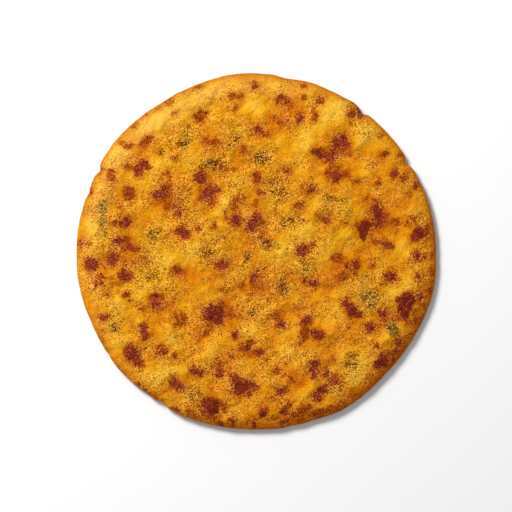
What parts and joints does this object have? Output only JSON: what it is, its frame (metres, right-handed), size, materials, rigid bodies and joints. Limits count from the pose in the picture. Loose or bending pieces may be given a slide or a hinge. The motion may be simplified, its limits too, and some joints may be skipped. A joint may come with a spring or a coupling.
{
  "type": "besan roti",
  "caption": "Round pan-baked gram flour flatbread, golden with browned spots and mixed-in herbs, lying flat on its underside.",
  "frame": {"origin": "centre of the flat underside that the bread rests on", "axes": "+Z up out of the browned top face, +X to the right and +Y up as the picture shows it"},
  "size_m": [0.1704, 0.1688, 0.0077],
  "materials": {
    "dough": "matte baked gram flour dough, golden yellow to orange, with dark red-brown pan spots, fine brown specks and small green herb flecks"
  },
  "bodies": {
    "root": {"roti": "dough"}
  },
  "joints": []
}
